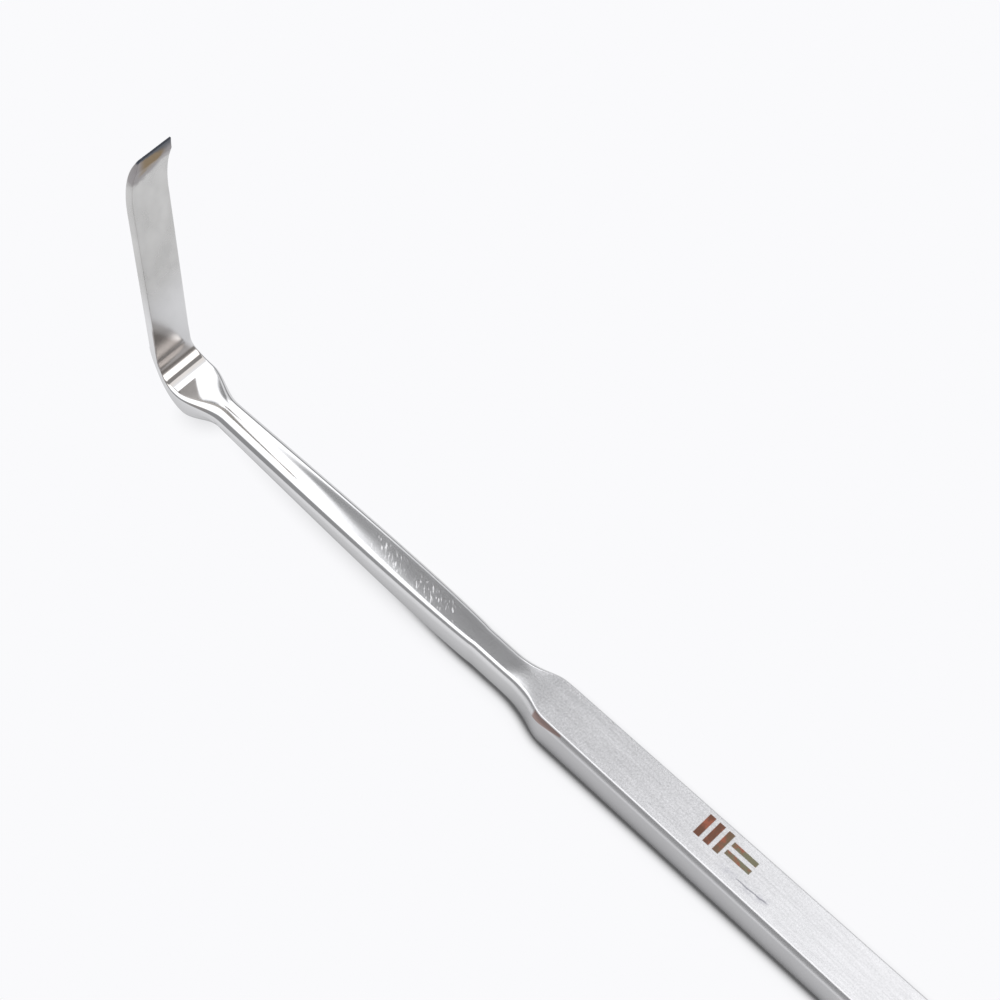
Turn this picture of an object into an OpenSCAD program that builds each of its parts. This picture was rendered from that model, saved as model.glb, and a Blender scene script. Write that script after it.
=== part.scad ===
// Right-angle hand instrument: flat bar handle, waisted neck, slender shank and an upright flat blade
// with a small lip. One forging, modelled as its named sections, which meet face to face.
// Frame: +X from the handle towards the blade, +Z up, origin at the centre of the handle's flat underside.

/* [Handle] */
// Length of the flat bar handle
handle_len = 120; // [90:1:150]
// Width of the handle where the neck begins
handle_w = 7.7; // [6:0.1:10]
// Width of the handle at its butt end
butt_w = 9; // [6.5:0.1:11]
// Depth of the handle, from underside to top
handle_t = 8; // [6:0.1:10]
// Corner radius of the butt end, seen from above
butt_r = 1.5; // [0.5:0.1:3]
// Width of the small flat on every long edge
edge_flat = 0.3; // [0.1:0.05:0.6]

/* [Neck and shank] */
// Distance from the handle's end to the inner face of the blade
reach = 82; // [70:1:110]
// Radius of the concave shoulders
shoulder_r = 17; // [12:1:30]
// How much farther the shoulder on the -Y side runs than the one on the +Y side
shoulder_skew = 1.8; // [0:0.1:3]
// Width of the neck just past the shoulders
neck_w = 4.7; // [4:0.1:5.5]
// Width of the shank at its widest
shank_w = 5.6; // [4.8:0.1:6.5]
// Height of the neck's underside above the surface that the handle lies on
neck_lift = 0.7; // [0:0.1:1.5]
// Height of the neck's top
neck_top = 7.7; // [6.5:0.1:8]
// Height of the underside of the shank where the heel begins
shank_lift = 3.6; // [2.5:0.1:4]
// Edge radius of the shank at the neck
edge_r_neck = 1.2; // [0.6:0.1:1.6]
// Edge radius of the shank at the heel
edge_r_heel = 1.6; // [1:0.1:1.7]

/* [Heel and bend] */
// Width of the flared heel
heel_w = 8.1; // [6.5:0.1:9.5]
// Height of the heel's top
heel_top = 7.2; // [6.5:0.1:8]
// Height of the heel's underside
heel_lift = 2.6; // [2:0.1:3.2]
// Radius of the fillet inside the bend
inner_r = 4; // [2.5:0.1:5]
// Length of the outer curve of the bend along X
outer_run = 7.1; // [6:0.1:9]
// Height where the outer curve ends and the flat blade begins
blade_foot = 14; // [12:0.5:18]

/* [Blade] */
// Width of the blade
blade_w = 6.9; // [5:0.1:8]
// Thickness of the blade
blade_t = 1.5; // [1.2:0.1:2.2]
// Height of the blade's tip above the rest surface
blade_h = 64; // [50:1:80]
// Radius of the inward curve of the lip
lip_r = 34; // [28:1:50]
// Height of the lip, from where the blade starts to curve
lip_h = 15; // [10:1:18]
// Thickness of the lip where its edge bevel begins
lip_t = 1.1; // [0.8:0.1:1.2]
// Thickness left at the edge itself
tip_t = 0.3; // [0.2:0.05:0.6]
// How far the lip's corner on the +Y side is rounded off
lip_corner = 0.8; // [0.2:0.1:1.5]

/* [Hidden] */
$fn = 48;
steel = "silver";
// Stations along the instrument, from the handle's end
x_handle = handle_len / 2;
x_shoulder = x_handle + 1.8;
x_neck = x_handle + 16;
x_heel = x_handle + reach - 12;
x_inner = x_handle + reach;
x_outer = x_inner + blade_t;
z_lip = blade_h - lip_h;
// Centres of the inner and outer curves of the bend, in the XZ plane
inner_c = [x_inner - inner_r, heel_top + inner_r];
outer_c = [x_outer - outer_run, blade_foot];
// Angle at which the lip's outer face ends
lip_angle = asin(lip_h / lip_r);
// Fraction of the lip where the bevel of its edge begins
bevel_start = 0.84;
corner_steps = 5;

function mix(a, b, t) = a + (b - a) * t;
function clamp01(t) = min(1, max(0, t));
function ease(t) = let (c = clamp01(t)) c * c * (3 - 2 * c);

// One station: [inner point, outer point, half width on +Y, half width on -Y, inner and outer edge radius].
// The section lies in the plane through both points and parallel to Y.
function ring(s) =
    let (outer = s[1], span = norm(s[0] - outer), up = (s[0] - outer) / span)
    [for (corner = [0 : 3])
        let (
            r = corner < 2 ? s[4] : s[5],
            v0 = (corner == 0 || corner == 3) ? s[2] - r : r - s[3],
            u0 = corner < 2 ? span - r : r
        )
        for (i = [0 : corner_steps])
            let (a = 90 * (corner + i / corner_steps), v = v0 + r * cos(a), u = u0 + r * sin(a))
            [outer[0] + up[0] * u, v, outer[1] + up[1] * u]];

// Closed solid through a list of stations
module loft(stations) {
    n = 4 * (corner_steps + 1);
    last = len(stations) - 1;
    points = [for (s = stations) each ring(s)];
    sides = [for (k = [0 : last - 1]) for (i = [0 : n - 1])
        let (a = k * n + i, b = k * n + (i + 1) % n)
        each [[a, a + n, b + n], [a, b + n, b]]];
    ends = [[for (i = [0 : n - 1]) i], [for (i = [n - 1 : -1 : 0]) last * n + i]];
    polyhedron(points, concat(sides, ends));
}

// Smaller of two values, with the corner between them eased over k
function soft_min(a, b, k) = let (h = clamp01(0.5 + 0.5 * (b - a) / k)) mix(b, a, h) - k * h * (1 - h);

// Half width of one side of the neck, whose shoulder starts at x_start: an arc, its corner eased off
function shoulder_half(x, x_start) =
    let (
        rise = (handle_w - neck_w) / 2,
        run = sqrt(2 * shoulder_r * rise - rise * rise),
        d = max(0, x_start + run - x),
        arc = shoulder_r - sqrt(max(0, shoulder_r * shoulder_r - d * d))
    )
    neck_w / 2 + soft_min(rise, arc, 0.6);
function shank_half(x) =
    mix(neck_w, shank_w, sin(180 * pow(clamp01((x - x_neck) / (x_heel - x_neck)), 0.65))) / 2;

// Stations of each lofted section
function neck_station(x) =
    let (t = ease((x - x_shoulder) / 9), r = mix(edge_flat, edge_r_neck, t))
    [
        [x, mix(handle_t, neck_top, t)],
        [x, mix(0, neck_lift, t)],
        shoulder_half(x, x_shoulder),
        shoulder_half(x, x_shoulder + shoulder_skew),
        r,
        r
    ];
function shank_station(x) =
    let (t = (x - x_neck) / (x_heel - x_neck), r = mix(edge_r_neck, edge_r_heel, t), w = shank_half(x))
    [[x, mix(neck_top, heel_top, t)], [x, mix(neck_lift, shank_lift, t)], w, w, r, r];
function heel_station(t) =
    let (w = mix(neck_w, heel_w, ease((t - 0.1) / 0.9)) / 2)
    [
        [mix(x_heel, inner_c[0], t), heel_top],
        [mix(x_heel, outer_c[0], t), mix(shank_lift, heel_lift, ease(t))],
        w,
        w,
        mix(edge_r_heel, 0.6, ease(t)),
        mix(edge_r_heel, 1.5, ease(t))
    ];
function bend_station(t) =
    let (a = 90 * t, w = mix(heel_w, blade_w, ease(t / 0.9)) / 2)
    [
        inner_c + inner_r * [sin(a), -cos(a)],
        outer_c + [outer_run * sin(a), (heel_lift - blade_foot) * cos(a)],
        w,
        w,
        mix(0.6, 0.25, ease(t * 1.5)),
        mix(1.5, 0.25, ease(t * 1.1))
    ];
function lip_station(t) =
    let (
        a = lip_angle * t,
        thick = t < bevel_start
            ? mix(blade_t, lip_t, t / bevel_start)
            : mix(lip_t, tip_t, (t - bevel_start) / (1 - bevel_start)),
        c = [x_outer - lip_r, z_lip],
        w = blade_w / 2,
        r = min(0.25, thick * 0.45)
    )
    [
        c + (lip_r - thick) * [cos(a), sin(a)],
        c + lip_r * [cos(a), sin(a)],
        w - lip_corner * pow(t, 12),
        w - 0.2 * pow(t, 12),
        r,
        r
    ];

// Long edge of the handle, removed at 45 degrees along one tapered side
module edge_cut(side, z) {
    taper = atan((butt_w - handle_w) / 2 / handle_len);
    translate([0, side * (butt_w + handle_w) / 4, z])
        rotate([0, 0, -side * taper])
            rotate([45, 0, 0])
                cube([handle_len * 1.1, edge_flat * sqrt(2), edge_flat * sqrt(2)], center = true);
}

// Outline of the handle from above: a long taper with rounded butt corners
module handle_outline() {
    union() {
        polygon([
            [x_handle, -handle_w / 2],
            [x_handle, handle_w / 2],
            [butt_r - x_handle, butt_w / 2],
            [butt_r - x_handle, -butt_w / 2]
        ]);
        translate([-x_handle, butt_r - butt_w / 2])
            square([butt_r * 1.01, butt_w - 2 * butt_r]);
        for (side = [-1, 1])
            translate([butt_r - x_handle, side * (butt_w / 2 - butt_r)])
                circle(r = butt_r);
    }
}

module handle() {
    color(steel)
        difference() {
            linear_extrude(height = handle_t)
                handle_outline();
            for (side = [-1, 1])
                for (z = [0, handle_t])
                    edge_cut(side, z);
        }
}

module neck() {
    color(steel)
        loft([for (i = [0 : 24]) neck_station(mix(x_handle, x_neck, i / 24))]);
}

module shank() {
    color(steel)
        loft([for (i = [0 : 18]) shank_station(mix(x_neck, x_heel, i / 18))]);
}

module heel() {
    color(steel)
        loft([for (i = [0 : 14]) heel_station(i / 14)]);
}

module bend() {
    color(steel)
        loft(concat(
            [for (i = [0 : 16]) bend_station(i / 16)],
            [[[x_inner, blade_foot], [x_outer, blade_foot], blade_w / 2, blade_w / 2, 0.25, 0.25]]
        ));
}

module blade() {
    color(steel)
        translate([(x_inner + x_outer) / 2, 0, blade_foot])
            linear_extrude(height = z_lip - blade_foot)
                union() {
                    square([blade_t, blade_w - 0.5], center = true);
                    square([blade_t - 0.5, blade_w], center = true);
                    for (i = [-1, 1])
                        for (j = [-1, 1])
                            translate([i * (blade_t / 2 - 0.25), j * (blade_w / 2 - 0.25)])
                                circle(r = 0.25);
                }
}

module lip() {
    color(steel)
        loft([for (i = [0 : 16]) lip_station(i / 16)]);
}

handle();
neck();
shank();
heel();
bend();
blade();
lip();
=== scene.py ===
"""Looks of the right-angle hand instrument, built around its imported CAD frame."""

import math

import bpy
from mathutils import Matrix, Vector


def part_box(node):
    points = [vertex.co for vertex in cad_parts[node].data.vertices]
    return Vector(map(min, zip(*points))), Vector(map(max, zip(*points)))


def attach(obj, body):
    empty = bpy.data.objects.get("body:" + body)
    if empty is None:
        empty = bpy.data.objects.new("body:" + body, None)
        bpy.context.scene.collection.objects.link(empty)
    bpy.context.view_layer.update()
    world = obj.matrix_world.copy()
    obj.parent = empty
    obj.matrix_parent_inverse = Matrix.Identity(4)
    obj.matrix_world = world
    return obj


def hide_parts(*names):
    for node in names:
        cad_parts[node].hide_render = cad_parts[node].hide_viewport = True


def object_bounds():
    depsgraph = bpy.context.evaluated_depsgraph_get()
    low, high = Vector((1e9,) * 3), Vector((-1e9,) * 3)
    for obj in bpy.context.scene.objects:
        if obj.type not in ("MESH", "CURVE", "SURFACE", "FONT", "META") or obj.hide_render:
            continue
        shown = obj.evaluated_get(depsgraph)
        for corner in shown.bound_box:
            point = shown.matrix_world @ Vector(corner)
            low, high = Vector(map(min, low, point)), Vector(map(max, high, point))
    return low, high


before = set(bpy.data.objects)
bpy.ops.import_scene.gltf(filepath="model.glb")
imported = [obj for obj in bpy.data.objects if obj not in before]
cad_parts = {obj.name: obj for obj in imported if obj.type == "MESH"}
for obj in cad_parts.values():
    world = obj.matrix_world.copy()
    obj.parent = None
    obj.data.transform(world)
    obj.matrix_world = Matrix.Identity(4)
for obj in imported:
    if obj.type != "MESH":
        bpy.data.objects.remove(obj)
cad_low, cad_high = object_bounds()

MM = 0.001

# ---------------------------------------------------------------- sizes, in mm, from the frame


def box_mm(node):
    """Lowest and highest corner of a CAD node's box, in mm."""
    low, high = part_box(node)
    return low / MM, high / MM


handle_low, handle_high = box_mm("handle")
neck_low, neck_high = box_mm("neck")
shank_low, shank_high = box_mm("shank")
heel_low, heel_high = box_mm("heel")
blade_low, blade_high = box_mm("blade")
lip_high = box_mm("lip")[1]

# places along the instrument, and heights up the blade
X_BUTT = handle_low.x
X_HANDLE = handle_high.x
X_SHOULDER = X_HANDLE + 1.8
X_NECK = neck_high.x
X_HEEL = shank_high.x
X_INNER = blade_low.x
X_OUTER = blade_high.x
Z_FOOT = blade_low.z
Z_LIP = blade_high.z
Z_TIP = lip_high.z

# widths
BUTT_W = handle_high.y - handle_low.y
HANDLE_W = neck_high.y - neck_low.y
NECK_W = 4.7
SHANK_W = shank_high.y - shank_low.y
HEEL_W = heel_high.y - heel_low.y
BLADE_W = blade_high.y - blade_low.y

# thicknesses, tops, and how far the underside is lifted
HANDLE_T = handle_high.z
NECK_TOP = shank_high.z
NECK_LIFT = shank_low.z
SHANK_LIFT = 3.6
HEEL_TOP = heel_high.z
HEEL_LIFT = heel_low.z
BLADE_T = X_OUTER - X_INNER
LIP_T = 1.1
TIP_T = 0.3

# curves
BUTT_R = 1.5
BUTT_EDGE_R = 0.5
SHOULDER_R = 17.0
SHOULDER_SKEW = 1.8  # how much further along the -Y shoulder lies
SHOULDER_SOFT = 0.6  # width over which the shoulder's corner is rounded
NECK_DROP = 9.0  # length over which the neck comes down to the shank
NECK_CHANGE = 8.0  # length over which its edges take their new roundness
SHANK_PEAK = 0.65  # below 1, the shank's widest place lies nearer the neck
HEEL_START = 0.1  # share of the heel before it widens
BEND_NARROWED = 0.9  # share of the bend by which it has the blade's width
INNER_R = 4.0
INNER_C = (X_INNER - INNER_R, HEEL_TOP + INNER_R)
OUTER_RUN = 7.1
OUTER_C = (X_OUTER - OUTER_RUN, Z_FOOT)
LIP_R = 34.0
LIP_ANGLE = math.asin((Z_TIP - Z_LIP) / LIP_R)
BEVEL_START = 0.84  # share of the lip at which its last bevel begins
CORNER_PLUS, CORNER_MINUS = 0.8, 0.2  # how far the tip's +Y and -Y corners are cut back
CORNER_POWER = 12

# how much a face swells between its edges
CROWN = 0.06
LOW_CROWN = 0.02
BLADE_CROWN = 0.03

# Edges of a section, in the order +Y inside, -Y inside, -Y outside and +Y outside. The inside is the
# top of the handle, shank and heel, and the side of the blade that faces the handle. Each edge is
# (a, b, bevel): its reach across and along the section, and how far it is a flat bevel with broken
# edges rather than a round.
CORNER_SIGNS = ((1, 1), (-1, 1), (-1, -1), (1, -1))
BLADE_EDGE = 0.28
HANDLE_CORNERS = [(0.85, 1.05, 0.6), (0.25, 0.3, 1.0), (0.9, 1.2, 0.0), (0.9, 1.2, 0.0)]
NECK_CORNERS = [(1.15, 1.7, 0.0), (0.85, 1.2, 0.0), (1.3, 1.6, 0.0), (1.3, 1.6, 0.0)]
SHANK_END_CORNERS = [(2.3, 1.8, 0.0), (1.1, 1.4, 0.0), (1.6, 1.7, 0.0), (1.6, 1.7, 0.0)]
HEEL_END_CORNERS = [(0.9, 0.6, 0.0), (0.6, 0.6, 0.0), (1.5, 1.4, 0.0), (1.5, 1.4, 0.0)]
BLADE_CORNERS = [(BLADE_EDGE, BLADE_EDGE, 0.0)] * 4
BEND_PACE = (1.5, 1.5, 1.1, 1.1)  # how much sooner than the bend each of its edges changes

# steps of the skin: round an edge, across a face, round the butt, and along each piece
CORNER_STEPS = 10
FLAT_STEPS = 6
BUTT_STEPS = 12
HANDLE_STEPS = 60
NECK_STEPS = 48
SHANK_STEPS = 60
HEEL_STEPS = 28
BEND_STEPS = 44
BLADE_STEPS = 40
LIP_STEPS = 26
BEVEL_STEPS = 10
FILLET_EDGE = 5  # rings of the bend whose top is shaded as the fillet from the first one on


def mix(a, b, t):
    return a + (b - a) * t


def clamp01(t):
    return min(1.0, max(0.0, t))


def ease(t):
    t = clamp01(t)
    return t * t * (3 - 2 * t)


def soft_min(a, b, k):
    """The smaller of a and b, with the change from one to the other rounded over k."""
    h = clamp01(0.5 + 0.5 * (b - a) / k)
    return mix(b, a, h) - k * h * (1 - h)


def round_off(distance, radius):
    """How far an edge rounded to that radius stands back, at a distance from the end."""
    if distance >= radius:
        return 0.0
    return radius - math.sqrt(radius**2 - (radius - distance) ** 2)


def spread(low, high, count):
    return [mix(low, high, i / count) for i in range(count + 1)]


# ---------------------------------------------------------------- sections

BREAK = 0.16  # share of a bevel that its broken edges take
BREAK_TURN = 0.3  # share of the steps that go round each broken edge


def bezier(p, q, r, t):
    s = 1 - t
    return tuple(s * s * p[i] + 2 * s * t * q[i] + t * t * r[i] for i in (0, 1))


def corner_path(a, b, bevel, q):
    """Point of an edge, from its side (a, 0) at q 0 to its face (0, b) at q 1."""
    turn = q * math.pi / 2
    around = (a * math.cos(turn), b * math.sin(turn))
    if bevel <= 0:
        return around
    near = (a * (1 - BREAK), b * BREAK)
    far = (a * BREAK, b * (1 - BREAK))
    if q < BREAK_TURN:
        flat = bezier((a, -b * BREAK), (a, 0), near, q / BREAK_TURN)
    elif q > 1 - BREAK_TURN:
        flat = bezier(far, (0, b), (-a * BREAK, b), (q - (1 - BREAK_TURN)) / BREAK_TURN)
    else:
        flat = tuple(mix(near[i], far[i], (q - BREAK_TURN) / (1 - 2 * BREAK_TURN)) for i in (0, 1))
    return tuple(mix(around[i], flat[i], bevel) for i in (0, 1))


def mix_corner(first, second, t):
    return tuple(mix(first[i], second[i], t) for i in range(3))


def mix_corners(first, second, t):
    return [mix_corner(first[k], second[k], t) for k in range(4)]


def ring(inner, outer, half_plus, half_minus, corners, crown, inner_crown):
    """Closed section in the plane through both (x, z) points and parallel to Y, as 3-D points in mm."""
    span = math.dist(inner, outer)
    up = ((inner[0] - outer[0]) / span, (inner[1] - outer[1]) / span)
    arcs = []
    for k, (side, face) in enumerate(CORNER_SIGNS):
        a, b, bevel = corners[k]
        half = (half_plus if side > 0 else half_minus) - crown
        top = span - inner_crown if face > 0 else 0.0
        v0 = side * (half - a)
        u0 = top - face * b
        arc = []
        for i in range(CORNER_STEPS + 1):
            q = i / CORNER_STEPS
            pv, pu = corner_path(a, b, bevel, q if k % 2 == 0 else 1 - q)
            arc.append((v0 + side * pv, u0 + face * pu))
        arcs.append(arc)
    points = []
    for k in range(4):
        points += arcs[k]
        start, end = arcs[k][-1], arcs[(k + 1) % 4][0]
        for j in range(1, FLAT_STEPS):
            s = j / FLAT_STEPS
            v, u = mix(start[0], end[0], s), mix(start[1], end[1], s)
            swell = 1 - (2 * s - 1) ** 2
            if k in (1, 3):
                v += (crown if k == 3 else -crown) * swell
            elif k == 0:
                u += inner_crown * swell
            points.append((v, u))
    return [Vector((outer[0] + up[0] * u, v, outer[1] + up[1] * u)) for v, u in points]


# ---------------------------------------------------------------- stations along the instrument


def handle_ring(x):
    along = (x - X_BUTT) / (X_HANDLE - X_BUTT)
    half = mix(BUTT_W, HANDLE_W, along) / 2 - round_off(x - X_BUTT, BUTT_R)
    drop = round_off(x - X_BUTT, BUTT_EDGE_R)
    return ring((x, HANDLE_T - drop), (x, drop), half, half, HANDLE_CORNERS, CROWN, 0.0)


def shoulder_half(x, x_start):
    """Half width of the neck: a concave arc down from the handle's width."""
    rise = (HANDLE_W - NECK_W) / 2
    run = math.sqrt(2 * SHOULDER_R * rise - rise * rise)
    d = max(0.0, x_start + run - x)
    arc = SHOULDER_R - math.sqrt(max(0.0, SHOULDER_R**2 - d * d))
    return NECK_W / 2 + soft_min(rise, arc, SHOULDER_SOFT)


def neck_ring(x):
    t = ease((x - X_SHOULDER) / NECK_DROP)
    return ring(
        (x, mix(HANDLE_T, NECK_TOP, t)),
        (x, mix(0, NECK_LIFT, t)),
        shoulder_half(x, X_SHOULDER),
        shoulder_half(x, X_SHOULDER + SHOULDER_SKEW),
        mix_corners(HANDLE_CORNERS, NECK_CORNERS, ease((x - X_HANDLE) / NECK_CHANGE)),
        CROWN,
        CROWN * t,
    )


def shank_half(x):
    t = clamp01((x - X_NECK) / (X_HEEL - X_NECK)) ** SHANK_PEAK
    return mix(NECK_W, SHANK_W, math.sin(math.pi * t)) / 2


def shank_ring(x):
    t = (x - X_NECK) / (X_HEEL - X_NECK)
    half = shank_half(x)
    return ring(
        (x, mix(NECK_TOP, HEEL_TOP, t)),
        (x, mix(NECK_LIFT, SHANK_LIFT, t)),
        half,
        half,
        mix_corners(NECK_CORNERS, SHANK_END_CORNERS, ease(t)),
        CROWN,
        CROWN,
    )


def heel_ring(t):
    half = mix(NECK_W, HEEL_W, ease((t - HEEL_START) / (1 - HEEL_START))) / 2
    return ring(
        (mix(X_HEEL, INNER_C[0], t), HEEL_TOP),
        (mix(X_HEEL, OUTER_C[0], t), mix(SHANK_LIFT, HEEL_LIFT, ease(t))),
        half,
        half,
        mix_corners(SHANK_END_CORNERS, HEEL_END_CORNERS, ease(t)),
        CROWN,
        mix(CROWN, LOW_CROWN, ease(t)),
    )


def bend_ring(t):
    a = math.pi / 2 * t
    half = mix(HEEL_W, BLADE_W, ease(t / BEND_NARROWED)) / 2
    corners = [
        mix_corner(HEEL_END_CORNERS[k], BLADE_CORNERS[k], ease(t * BEND_PACE[k])) for k in range(4)
    ]
    return ring(
        (INNER_C[0] + INNER_R * math.sin(a), INNER_C[1] - INNER_R * math.cos(a)),
        (OUTER_C[0] + OUTER_RUN * math.sin(a), OUTER_C[1] + (HEEL_LIFT - Z_FOOT) * math.cos(a)),
        half,
        half,
        corners,
        mix(CROWN, LOW_CROWN, t),
        LOW_CROWN,
    )


def blade_ring(z):
    half = BLADE_W / 2
    return ring((X_INNER, z), (X_OUTER, z), half, half, BLADE_CORNERS, LOW_CROWN, BLADE_CROWN)


def lip_ring(t):
    if t < BEVEL_START:
        thick = mix(BLADE_T, LIP_T, t / BEVEL_START)
    else:
        thick = mix(LIP_T, TIP_T, (t - BEVEL_START) / (1 - BEVEL_START))
    a = LIP_ANGLE * t
    cx, cz = X_OUTER - LIP_R, Z_LIP
    edge = min(BLADE_EDGE, thick * 0.45)
    return ring(
        (cx + (LIP_R - thick) * math.cos(a), cz + (LIP_R - thick) * math.sin(a)),
        (cx + LIP_R * math.cos(a), cz + LIP_R * math.sin(a)),
        BLADE_W / 2 - CORNER_PLUS * t**CORNER_POWER,
        BLADE_W / 2 - CORNER_MINUS * t**CORNER_POWER,
        [(edge, edge, 0.0)] * 4,
        LOW_CROWN,
        BLADE_CROWN * (1 - t),
    )


butt_xs = [X_BUTT + BUTT_R * (1 - math.cos(math.pi / 2 * i / BUTT_STEPS)) for i in range(BUTT_STEPS)]
handle_xs = butt_xs + spread(X_BUTT + BUTT_R, X_HANDLE, HANDLE_STEPS)
lip_ts = spread(0, BEVEL_START, LIP_STEPS) + spread(BEVEL_START, 1, BEVEL_STEPS)[1:]
sections = {
    "handle": [handle_ring(x) for x in handle_xs],
    "neck": [neck_ring(x) for x in spread(X_HANDLE, X_NECK, NECK_STEPS)],
    "shank": [shank_ring(x) for x in spread(X_NECK, X_HEEL, SHANK_STEPS)],
    "heel": [heel_ring(t) for t in spread(0, 1, HEEL_STEPS)],
    "bend": [bend_ring(t) for t in spread(0, 1, BEND_STEPS)] + [blade_ring(Z_FOOT)],
    "blade": [blade_ring(z) for z in spread(Z_FOOT, Z_LIP, BLADE_STEPS)],
    "lip": [lip_ring(t) for t in lip_ts],
}


# ---------------------------------------------------------------- one skin, cut into its pieces


def join_sections():
    """All rings in one list, and the first and last ring of each piece. Neighbours share a ring."""
    rings, spans = [], {}
    for name, own in sections.items():
        start = max(0, len(rings) - 1)
        rings += own[1:] if rings else own
        spans[name] = (start, len(rings) - 1)
    return rings, spans


def quad(k, i, n):
    """Ring and point of the four corners of a face of the skin."""
    j = (i + 1) % n
    return ((k, i), (k, j), (k + 1, j), (k + 1, i))


def skin_normals(rings):
    """Unit normals of one continuous skin through all rings, by ring and point."""
    n = len(rings[0])
    total = [[Vector((0, 0, 0)) for _ in range(n)] for _ in rings]
    for k in range(len(rings) - 1):
        for i in range(n):
            corners = quad(k, i, n)
            a, b, c, d = (rings[kk][ii] for kk, ii in corners)
            normal = (c - a).cross(d - b)
            for kk, ii in corners:
                total[kk][ii] += normal
    return [[v.normalized() for v in row] for row in total]


def piece_mesh(name, rows, normals):
    """Closed mesh of one piece: the skin along its rings, and a flat cap on each end."""
    n = len(rows[0])
    vertices = [p * MM for row in rows for p in row]
    faces, loop_normals = [], []
    for k in range(len(rows) - 1):
        for i in range(n):
            corners = quad(k, i, n)
            faces.append([kk * n + ii for kk, ii in corners])
            for kk, ii in corners:
                # the fillet meets the heel's flat top in a faint edge
                on_top = name == "bend" and kk < FILLET_EDGE and normals[0][ii].z > 0.3
                loop_normals.append(normals[FILLET_EDGE if on_top else kk][ii])
    for row, order in ((0, range(n - 1, -1, -1)), (len(rows) - 1, range(n))):
        cap = [row * n + i for i in order]
        a, b, c = (vertices[cap[m]] for m in (0, n // 3, 2 * n // 3))
        faces.append(cap)
        loop_normals += [(b - a).cross(c - a).normalized()] * n
    mesh = bpy.data.meshes.new(name + "_steel")
    mesh.from_pydata(vertices, [], faces)
    mesh.update()
    mesh.shade_smooth()
    mesh.normals_split_custom_set(loop_normals)
    return mesh


def build_pieces():
    rings, spans = join_sections()
    normals = skin_normals(rings)
    pieces = {}
    for name, (first, last) in spans.items():
        mesh = piece_mesh(name, rings[first : last + 1], normals[first : last + 1])
        piece = bpy.data.objects.new(name + "_steel", mesh)
        bpy.context.scene.collection.objects.link(piece)
        pieces[name] = piece
    return pieces


# ---------------------------------------------------------------- node helpers


class Tree:
    """Short names for the few shader nodes used here. A value may be a number or a socket."""

    def __init__(self, tree):
        self.tree = tree
        tree.nodes.clear()

    def node(self, kind, **settings):
        made = self.tree.nodes.new(kind)
        for key, value in settings.items():
            setattr(made, key, value)
        return made

    def put(self, socket, value):
        if isinstance(value, bpy.types.NodeSocket):
            self.tree.links.new(value, socket)
        else:
            socket.default_value = value

    def fill(self, made, values):
        """Set the inputs of a node, by the name or number of each."""
        for key, value in values.items():
            self.put(made.inputs[key], value)
        return made

    def math(self, operation, *values):
        made = self.node("ShaderNodeMath", operation=operation)
        return self.fill(made, dict(enumerate(values))).outputs[0]

    def add(self, a, b):
        return self.math("ADD", a, b)

    def sub(self, a, b):
        return self.math("SUBTRACT", a, b)

    def chain(self, operation, values):
        """The operation on the first two values, then on its result and the third, and so on."""
        result = values[0]
        for value in values[1:]:
            result = self.math(operation, result, value)
        return result

    def mul(self, *values):
        return self.chain("MULTIPLY", values)

    def most(self, *values):
        return self.chain("MAXIMUM", values)

    def magnitude(self, value):
        return self.math("ABSOLUTE", value)

    def off_middle(self, noise):
        """A noise moved down by its middle value, so that it goes both ways from 0."""
        return self.sub(noise, 0.5)

    def rise(self, value, low, high):
        """Smooth step from 0 at low to 1 at high. Where low is the larger, the step falls."""
        made = self.node("ShaderNodeMapRange", interpolation_type="SMOOTHSTEP")
        return self.fill(made, {0: value, 1: low, 2: high, 3: 0.0, 4: 1.0}).outputs[0]

    def band(self, value, low, high, soft):
        """1 between low and high, falling off over soft on both sides."""
        return self.mul(self.rise(value, low - soft, low), self.rise(value, high + soft, high))

    def between(self, factor, a, b):
        """a at factor 0, b at factor 1, for numbers."""
        made = self.node("ShaderNodeMix", data_type="FLOAT")
        return self.fill(made, {0: factor, 2: a, 3: b}).outputs[0]

    def colour(self, factor, a, b):
        """The same for colours."""
        made = self.node("ShaderNodeMix", data_type="RGBA")
        a, b = ((*value, 1.0) if isinstance(value, tuple) else value for value in (a, b))
        return self.fill(made, {0: factor, 6: a, 7: b}).outputs[2]

    def split(self, vector):
        return self.fill(self.node("ShaderNodeSeparateXYZ"), {0: vector}).outputs

    def place(self, vector, scale=(1, 1, 1), turn=0.0):
        """The vector turned about Z, by degrees, and scaled."""
        made = self.fill(self.node("ShaderNodeMapping"), {0: vector})
        made.inputs["Rotation"].default_value = (0, 0, math.radians(turn))
        made.inputs["Scale"].default_value = scale
        return made.outputs[0]

    def noise(self, vector, scale, detail=2.0, rough=0.5):
        """Noise with that many cycles per mm, either one number or one for each axis."""
        if isinstance(scale, tuple):
            vector = self.place(vector, scale)
            scale = 1.0
        made = self.node("ShaderNodeTexNoise")
        values = {"Vector": vector, "Scale": scale, "Detail": detail, "Roughness": rough}
        return self.fill(made, values).outputs[0]


# ---------------------------------------------------------------- steel
# In the functions below, t is the material's Tree and s its Surface.

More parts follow.
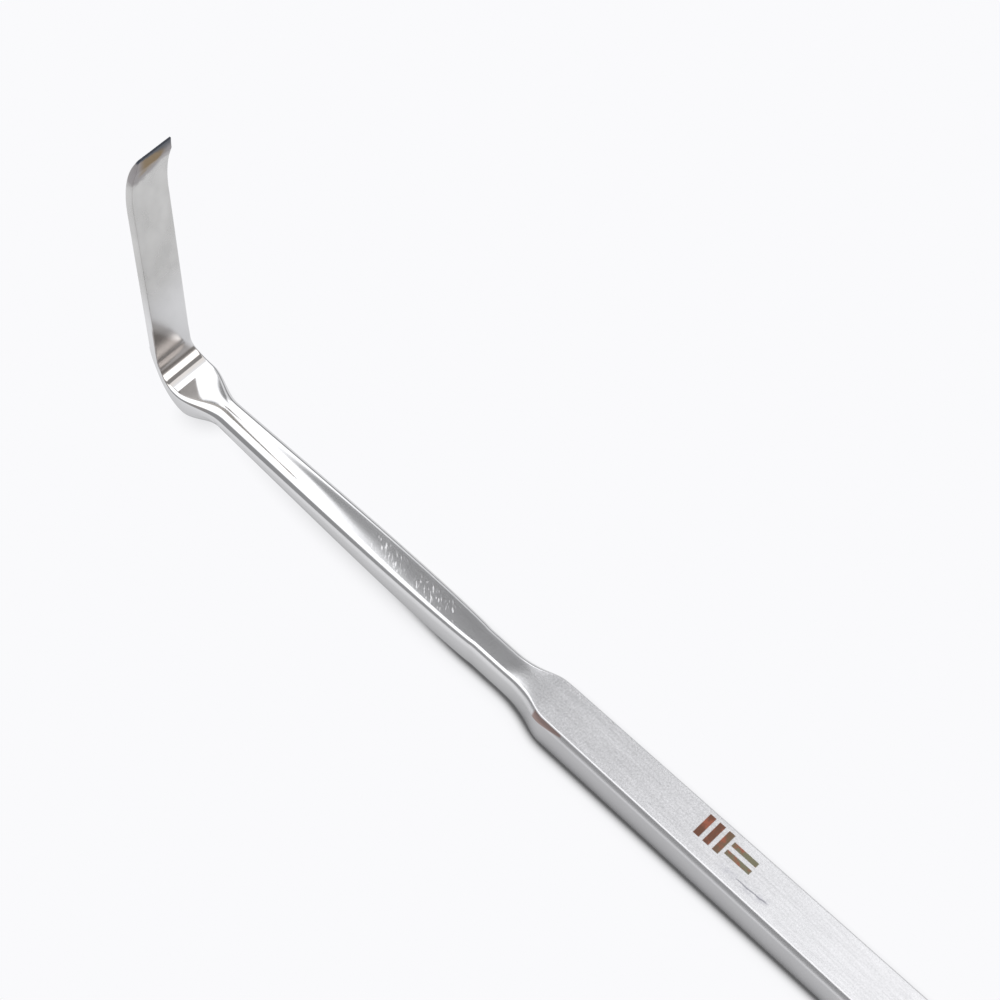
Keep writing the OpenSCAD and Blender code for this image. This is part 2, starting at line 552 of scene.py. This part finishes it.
STEEL = (0.68, 0.68, 0.69)
STEEL_BLADE = (0.61, 0.607, 0.595)
STEEL_POLISHED = (0.8, 0.8, 0.804)
FRESH_CUT = (0.98, 0.98, 0.98)
# brown-grey painted dark reflection in the bend's inner corner
PAINTED_REFLECTION_BROWN = (0.36, 0.335, 0.32)
ETCH_BROWN = (0.17, 0.085, 0.06)
ETCH_OLIVE = (0.2, 0.19, 0.13)
ETCH_RED = (0.32, 0.12, 0.08)
STAIN_BLUE = (0.3, 0.3, 0.36)
SCRATCH_GREY = (0.2, 0.2, 0.23)
TINT_TAN = (0.36, 0.25, 0.225)
# the lip's grey and blue-black are painted dark reflection; its gold is heat tint
LIP_PAINTED_REFLECTION_GREY = (0.29, 0.27, 0.275)
LIP_GOLD = (0.25, 0.17, 0.075)
LIP_PAINTED_REFLECTION_BLACK = (0.075, 0.085, 0.105)

GRAIN_TURN = 2.0  # degrees between the grain and the long axis
GRAIN_ALONG = (0.14, 3.0, 3.6)
GRAIN_UPRIGHT = (4.0, 5.0, 0.35)
BUMP_STRENGTH = 0.25
BUMP_HEIGHT = 0.02 * MM


class Surface:
    """What the finishes share: the place in mm, the facing, and the look worked out so far."""

    def __init__(self, t):
        self.where = t.place(t.node("ShaderNodeTexCoord").outputs["Object"], (1 / MM, 1 / MM, 1 / MM))
        self.x, self.y, self.z = t.split(self.where)
        self.facing = t.split(t.node("ShaderNodeNewGeometry").outputs["Normal"])
        self.flat_face = t.rise(t.magnitude(self.facing[2]), 0.955, 0.99)
        self.base = None
        self.rough = None
        self.relief = None


def brushed(t, s, upright):
    """The forging's own finish. It depends only on place, so pieces that meet look like one."""
    turned = t.place(s.where, turn=GRAIN_TURN)
    streak = t.noise(turned, GRAIN_UPRIGHT if upright else GRAIN_ALONG, 3.0, 0.65)
    sandy = t.noise(s.where, 3.4, 2.0, 0.65)
    broad = t.noise(turned, (0.05, 1.1, 1.1))
    cloud = t.noise(s.where, (0.12, 0.3, 0.13))

    # zones: the handle and its ragged end, the blade above the bend, and the polished heel and bend
    ragged = t.add(s.x, t.mul(t.off_middle(streak), 6.0))
    bar = t.rise(ragged, X_HANDLE + 9, X_HANDLE + 2)
    raised = t.rise(s.z, Z_FOOT + 7, Z_FOOT + 19)
    polish = t.rise(s.x, X_HEEL - 36, X_HEEL - 16)

    # satin is how much of the sandy finish shows, and grained how much of its grain does
    low_satin = t.mul(s.flat_face, t.between(bar, 0.4, 1.0))
    low_satin = t.most(low_satin, t.mul(bar, 0.85))
    satin = t.between(raised, t.between(polish, low_satin, 0.15), 0.8)
    grained = t.between(raised, t.mul(satin, s.flat_face), 0.0)

    ground = t.between(bar, 0.12, 0.25)
    side = t.between(bar, 0.17, 0.28)
    mirror = t.between(t.rise(s.z, Z_FOOT - 4, Z_FOOT + 1), 0.07, 0.2)
    rough = t.between(polish, t.between(s.flat_face, side, ground), mirror)
    s.rough = t.between(raised, rough, t.add(0.22, t.mul(cloud, 0.12)))

    worn = t.between(t.rise(s.x, 5, 45), 0.35, 0.7)
    shade = t.add(t.mul(t.off_middle(streak), 0.35), t.mul(t.off_middle(sandy), worn))
    shade = t.add(shade, t.mul(t.off_middle(broad), 0.16))
    blotch = t.mul(t.off_middle(cloud), t.between(raised, 0.12, 0.5))
    shade = t.add(t.mul(shade, grained), t.add(1.0, blotch))
    base = t.colour(raised, t.colour(satin, STEEL_POLISHED, STEEL), STEEL_BLADE)
    tone = t.node("ShaderNodeVectorMath", operation="SCALE")
    s.base = t.fill(tone, {0: base, 3: shade}).outputs[0]
    s.relief = t.mul(t.add(t.mul(streak, 0.3), t.mul(sandy, t.mul(bar, 0.4))), grained)


def grinding_strokes(t, s):
    """Two patches of fine bright strokes across the shank's top, left by the grinder."""
    slant = t.place(s.where, turn=-43)
    lines = t.noise(slant, (4.2, 0.75, 0.5), 1.0)
    patch = t.noise(s.where, (0.6, 0.7, 0.2), 1.0)
    stroke = t.mul(
        t.rise(lines, 0.55, 0.7),
        t.rise(patch, 0.34, 0.5),
        t.most(
            t.band(s.x, X_NECK + 5.5, X_NECK + 12.5, 1.5),
            t.band(s.x, X_NECK + 16, X_NECK + 22, 1.5),
        ),
        t.band(s.y, -0.9, 1.2, 0.5),
        s.flat_face,
    )
    s.base = t.colour(t.mul(stroke, 0.4), s.base, FRESH_CUT)
    s.rough = t.between(stroke, s.rough, 0.33)


def bend_painted_reflection(t, s):
    """Painted dark reflection, brown-grey, in the bend's inner corner, reaching higher on the +Y half."""
    top = t.add(15.5, t.mul(s.y, 1.7))
    # scale here masks the painted dark reflection, on faces turned toward the handle
    scale = t.mul(
        t.rise(s.z, top, t.sub(top, 2.5)),
        t.rise(s.z, 8.4, 9.0),
        t.rise(s.facing[0], -0.5, -0.65),
    )
    s.base = t.colour(t.mul(scale, 0.85), s.base, PAINTED_REFLECTION_BROWN)
    s.rough = t.between(scale, s.rough, 0.2)


MARK_X, MARK_Y = 29.6, -1.2
SCRATCH_X, SCRATCH_Y = 21.6, 1.5
# middle of each bar, from the mark's own middle, and half its size, along X and along Y
MARK_BARS = (
    (3.4, 0.0, 0.55, 1.9),
    (1.6, 0.0, 0.55, 1.9),
    (-0.2, 0.0, 0.55, 1.9),
    (-3.6, 0.75, 2.3, 0.4),
    (-3.6, -0.75, 2.3, 0.4),
)
MARK_BLUR = 0.06


def plain_mark(t, s, patchy):
    """A generic mark of three bars across the handle and two along it, etched and heat-tinted."""
    u, v = t.sub(s.x, MARK_X), t.sub(s.y, MARK_Y)
    bars = []
    for bar_u, bar_v, half_u, half_v in MARK_BARS:
        across = t.rise(t.magnitude(t.sub(u, bar_u)), half_u + MARK_BLUR, half_u - MARK_BLUR)
        along = t.rise(t.magnitude(t.sub(v, bar_v)), half_v + MARK_BLUR, half_v - MARK_BLUR)
        bars.append(t.mul(across, along))
    mask = t.mul(t.most(*bars), s.flat_face, t.rise(s.z, HANDLE_T - 0.5, HANDLE_T - 0.2))
    tint = t.colour(t.rise(u, 2.0, -3.5), ETCH_BROWN, ETCH_OLIVE)
    tint = t.colour(t.rise(patchy, 0.45, 0.7), tint, ETCH_RED)
    s.base = t.colour(mask, s.base, tint)
    s.rough = t.between(mask, s.rough, 0.42)
    s.relief = t.sub(s.relief, t.mul(mask, 0.6))


def scratch_and_stain(t, s, patchy):
    """A faint curved scratch with a soft stain round it, beside the mark."""
    along = t.sub(s.x, SCRATCH_X)
    path = t.add(SCRATCH_Y, t.mul(along, t.add(0.07, t.mul(along, -0.015))))
    away = t.magnitude(t.sub(s.y, t.add(path, t.mul(t.off_middle(patchy), 0.5))))
    scratch = t.mul(t.rise(away, 0.16, 0.03), t.band(s.x, 19.5, 24.0, 0.9), s.flat_face)
    stain = t.mul(
        t.rise(away, 1.1, 0.1),
        t.band(s.x, 20.0, 26.5, 2.0),
        t.rise(patchy, 0.42, 0.6),
        s.flat_face,
    )
    s.base = t.colour(t.mul(stain, 0.25), s.base, STAIN_BLUE)
    s.base = t.colour(t.mul(scratch, 0.75), s.base, SCRATCH_GREY)


def shoulder_tint(t, s):
    """A tan, rougher patch in the hollow below the +Y top edge by the shoulder."""
    narrowing = t.mul(t.sub(X_HANDLE + 2.2, s.x), 0.16)
    wedge = t.mul(
        t.band(s.x, X_HANDLE - 3.0, X_HANDLE + 2.0, 0.5),
        t.rise(s.facing[1], 0.5, 0.6),
        t.rise(t.sub(s.z, narrowing), HANDLE_T - 1.45, HANDLE_T - 1.2),
        t.rise(s.z, HANDLE_T - 0.1, HANDLE_T - 0.2),
    )
    s.base = t.colour(t.mul(wedge, 0.9), s.base, TINT_TAN)
    s.rough = t.between(wedge, s.rough, 0.4)


def handle_marks(t, s):
    patchy = t.noise(s.where, 0.8)
    plain_mark(t, s, patchy)
    scratch_and_stain(t, s, patchy)
    shoulder_tint(t, s)


def lip_tint_and_painted_reflection(t, s):
    """The lip: steel, then grey painted dark reflection, gold and brown heat tint, then blue-black painted
    dark reflection at the edge.
    """
    uneven = t.off_middle(t.noise(s.where, (0.45, 0.45, 0.45)))
    fine = t.off_middle(t.noise(s.where, (1.6, 1.6, 1.6), 2.0, 0.6))
    # the painted grey and the heat tint reach lower on the +Y half, and the painted black edge on the -Y
    # half
    start = t.sub(Z_TIP - 4.6, t.mul(t.rise(s.y, -3.2, 2.6), 2.4))
    height = t.sub(t.add(s.z, t.add(t.mul(uneven, 3.2), t.mul(fine, 1.4))), start)
    grey = t.rise(height, -0.4, 1.6)
    middle = t.mul(t.rise(s.y, -2.6, -1.2), t.rise(s.y, 3.0, 1.4))
    gold = t.mul(t.rise(height, 1.7, 3.2), middle)
    edge = t.sub(Z_TIP - 0.75, t.mul(t.rise(s.y, 1.0, -2.6), 1.7))
    black = t.rise(t.add(s.z, t.mul(fine, 0.8)), edge, Z_TIP - 0.25)
    # painted dark reflection: the grey over the lip and the blue-black at its edge; the gold between is
    # heat tint
    s.base = t.colour(t.mul(grey, 0.88), s.base, LIP_PAINTED_REFLECTION_GREY)
    s.base = t.colour(t.mul(gold, 0.9), s.base, LIP_GOLD)
    s.base = t.colour(black, s.base, LIP_PAINTED_REFLECTION_BLACK)
    s.rough = t.between(grey, s.rough, 0.35)


def steel(name, details, upright):
    """Procedural stainless steel, with the details of one zone on top."""
    material = bpy.data.materials.new(name)
    material.use_nodes = True
    t = Tree(material.node_tree)
    s = Surface(t)
    brushed(t, s, upright)
    details(t, s)
    bump = t.fill(t.node("ShaderNodeBump"), {"Strength": BUMP_STRENGTH, "Distance": BUMP_HEIGHT})
    t.put(bump.inputs["Height"], s.relief)
    shader = t.node("ShaderNodeBsdfPrincipled")
    t.fill(shader, {"Metallic": 1.0, "Base Color": s.base, "Roughness": s.rough})
    t.put(shader.inputs["Normal"], bump.outputs[0])
    t.fill(t.node("ShaderNodeOutputMaterial"), {"Surface": shader.outputs[0]})
    return material


# ---------------------------------------------------------------- build

# slot, details, and whether the grain runs up the piece
FINISHES = {
    "handle": ("handle_satin", handle_marks, False),
    "neck": ("neck_ground", handle_marks, False),
    "shank": ("shank_ground", grinding_strokes, False),
    "heel": ("bend_polished", bend_painted_reflection, False),
    "bend": ("bend_polished", bend_painted_reflection, False),
    "blade": ("blade_satin", bend_painted_reflection, True),
    # the lip: gold heat tint with painted dark reflection
    "lip": ("lip_tinted", lip_tint_and_painted_reflection, True),
}

pieces = build_pieces()
materials = {}
for name, (slot, details, upright) in FINISHES.items():
    if slot not in materials:
        materials[slot] = steel(slot, details, upright)
    piece = pieces[name]
    piece.data.materials.append(materials[slot])
    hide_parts(name)
    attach(piece, "root")

# ---------------------------------------------------------------- floor

FLOOR_R = 4.0
FLOOR_SIDES = 96
PAPER = (0.956, 0.956, 0.973)
TOUCH_REACH = 1.8 * MM
UNDER_REACH = 3.7 * MM
HIDDEN_REACH = 14 * MM
UPWARD = (0, 0, 1)
FROM_THE_FRONT = (0, 0.5, 0.85)
DARKEST_SHADOW = 0.12
MIRRORED_PAPER = 0.88
DARKEST_MIRRORED = 0.2


def closeness(t, distance, normal):
    """How much of the light within that distance, from that side, is blocked."""
    made = t.node("ShaderNodeAmbientOcclusion", samples=16)
    direction = t.fill(t.node("ShaderNodeCombineXYZ"), dict(enumerate(normal)))
    t.fill(made, {"Distance": distance, "Normal": direction.outputs[0]})
    return t.sub(1.0, made.outputs["AO"])


def paper_material():
    """Paper burnt out to plain white, apart from a narrow shadow where the instrument is close."""
    paper = bpy.data.materials.new("paper")
    paper.use_nodes = True
    t = Tree(paper.node_tree)
    touch = t.math("POWER", closeness(t, TOUCH_REACH, UPWARD), 2.0)
    under = t.math("POWER", closeness(t, UNDER_REACH, FROM_THE_FRONT), 1.5)
    lit = t.most(t.sub(t.sub(1.0, t.mul(touch, 2.9)), t.mul(under, 1.1)), DARKEST_SHADOW)
    # the exposure that turns the paper plain white hides how the instrument dims it nearby
    hidden = closeness(t, HIDDEN_REACH, UPWARD)
    mirrored = t.most(t.sub(MIRRORED_PAPER, t.mul(hidden, 0.8)), DARKEST_MIRRORED)
    seen = t.node("ShaderNodeLightPath").outputs["Is Camera Ray"]
    glowing = t.node("ShaderNodeEmission")
    t.fill(glowing, {"Color": (*PAPER, 1), "Strength": t.mul(lit, t.between(seen, mirrored, 1.0))})
    t.fill(t.node("ShaderNodeOutputMaterial"), {"Surface": glowing.outputs[0]})
    return paper


def build_floor():
    middle = (cad_low + cad_high) / 2
    rim = []
    for i in range(FLOOR_SIDES):
        angle = 2 * math.pi * i / FLOOR_SIDES
        rim.append((middle.x + FLOOR_R * math.cos(angle), middle.y + FLOOR_R * math.sin(angle), cad_low.z))
    mesh = bpy.data.meshes.new("floor")
    mesh.from_pydata(rim, [], [list(range(FLOOR_SIDES))])
    mesh.materials.append(paper_material())
    floor = bpy.data.objects.new("floor", mesh)
    bpy.context.scene.collection.objects.link(floor)


build_floor()

# ---------------------------------------------------------------- light

# what each part of the studio glows with, in the order in which they cover each other
CEILING = 1.5
GAP = 0.9
PANEL = 0.31
HANDLE_END = 0.98
# panels low behind the handle's end: the x at which each starts and is whole, and its glow
LOW_PANELS = ((-0.375, -0.4, 0.28), (-0.62, -0.65, 1.6), (-0.91, -0.93, 0.2))
DARK_ROOM = 0.33
COOL = (1.0, 1.003, 1.02)
WARM = (1.0, 0.95, 0.915)


def studio_glow(t, wx, wy, wz):
    """Glow of the studio by direction. Slope is 0 overhead and -1 half way down to the -Y side."""
    slope = t.math("DIVIDE", wy, t.most(wz, 0.02))
    # a grey panel overhead, beyond the instrument, with one slanted edge and one bright gap in it
    panel_edge = t.mul(t.most(t.sub(wx, 0.325), 0.0), 5.6)
    panel = t.mul(
        t.rise(wx, 0.15, 0.27),
        t.rise(wx, 0.409, 0.4),
        t.rise(t.sub(t.mul(slope, -1.0), panel_edge), -0.03, 0.02),
        t.rise(slope, -0.64, -0.56),
    )
    gap = t.mul(t.rise(slope, -0.56, -0.62), t.band(wx, 0.2, 0.36, 0.03))
    strip = t.mul(t.band(slope, -1.05, -0.92, 0.05), t.band(wx, 0.25, 0.34, 0.03))
    glow = t.between(t.most(panel, t.mul(strip, 0.8)), t.between(gap, CEILING, GAP), PANEL)
    # the bend mirrors what lies low behind the handle's end
    glow = t.between(t.mul(t.rise(wx, 0.06, -0.06), t.rise(slope, 0.1, 0.0)), glow, HANDLE_END)
    for start, whole, level in LOW_PANELS:
        glow = t.between(t.rise(wx, start, whole), glow, level)
    # the dark room near the horizon reaches less high behind the handle, and higher over its side
    height = t.add(wz, t.mul(t.rise(wx, -0.3, -0.6), 0.17))
    height = t.sub(height, t.mul(t.rise(wy, 0.3, 0.6), 0.13))
    return t.between(t.rise(height, 0.55, 0.42), glow, DARK_ROOM)


def build_world():
    """The studio as the steel mirrors it. The camera itself sees plain paper behind the floor."""
    world = bpy.data.worlds.new("studio")
    bpy.context.scene.world = world
    world.use_nodes = True
    t = Tree(world.node_tree)
    wx, wy, wz = t.split(t.node("ShaderNodeTexCoord").outputs["Generated"])
    seen = t.node("ShaderNodeLightPath").outputs["Is Camera Ray"]
    tint = t.colour(t.rise(wx, 0.05, -0.3), COOL, WARM)
    sky = t.node("ShaderNodeBackground")
    strength = t.between(seen, studio_glow(t, wx, wy, wz), 1.0)
    t.fill(sky, {"Color": t.colour(seen, tint, PAPER), "Strength": strength})
    t.fill(t.node("ShaderNodeOutputWorld"), {"Surface": sky.outputs[0]})


build_world()

# ---------------------------------------------------------------- camera

CAMERA_AT = Vector((-0.04252, 0.12807, 0.36390))
CAMERA_LOOKS_AT = Vector((0.09135, -0.01957, 0.004))
CAMERA_ROLL = math.radians(2.74)
SENSOR_WIDTH = 36.0
LENS = 98.03


def build_camera():
    data = bpy.data.cameras.new("camera")
    data.sensor_width = SENSOR_WIDTH
    data.lens = LENS
    data.clip_start = 0.01
    data.clip_end = 20.0
    camera = bpy.data.objects.new("camera", data)
    bpy.context.scene.collection.objects.link(camera)
    forward = (CAMERA_LOOKS_AT - CAMERA_AT).normalized()
    level = forward.cross(Vector((0, 0, 1))).normalized()
    upright = level.cross(forward)
    right = level * math.cos(CAMERA_ROLL) + upright * math.sin(CAMERA_ROLL)
    up = upright * math.cos(CAMERA_ROLL) - level * math.sin(CAMERA_ROLL)
    pose = camera.matrix_world.copy()
    for row in range(3):
        pose[row][0] = right[row]
        pose[row][1] = up[row]
        pose[row][2] = -forward[row]
        pose[row][3] = CAMERA_AT[row]
    camera.matrix_world = pose
    bpy.context.scene.camera = camera


build_camera()

view = bpy.context.scene.view_settings
view.view_transform = "Standard"
view.look = "None"
view.exposure = 0.0
view.gamma = 1.0
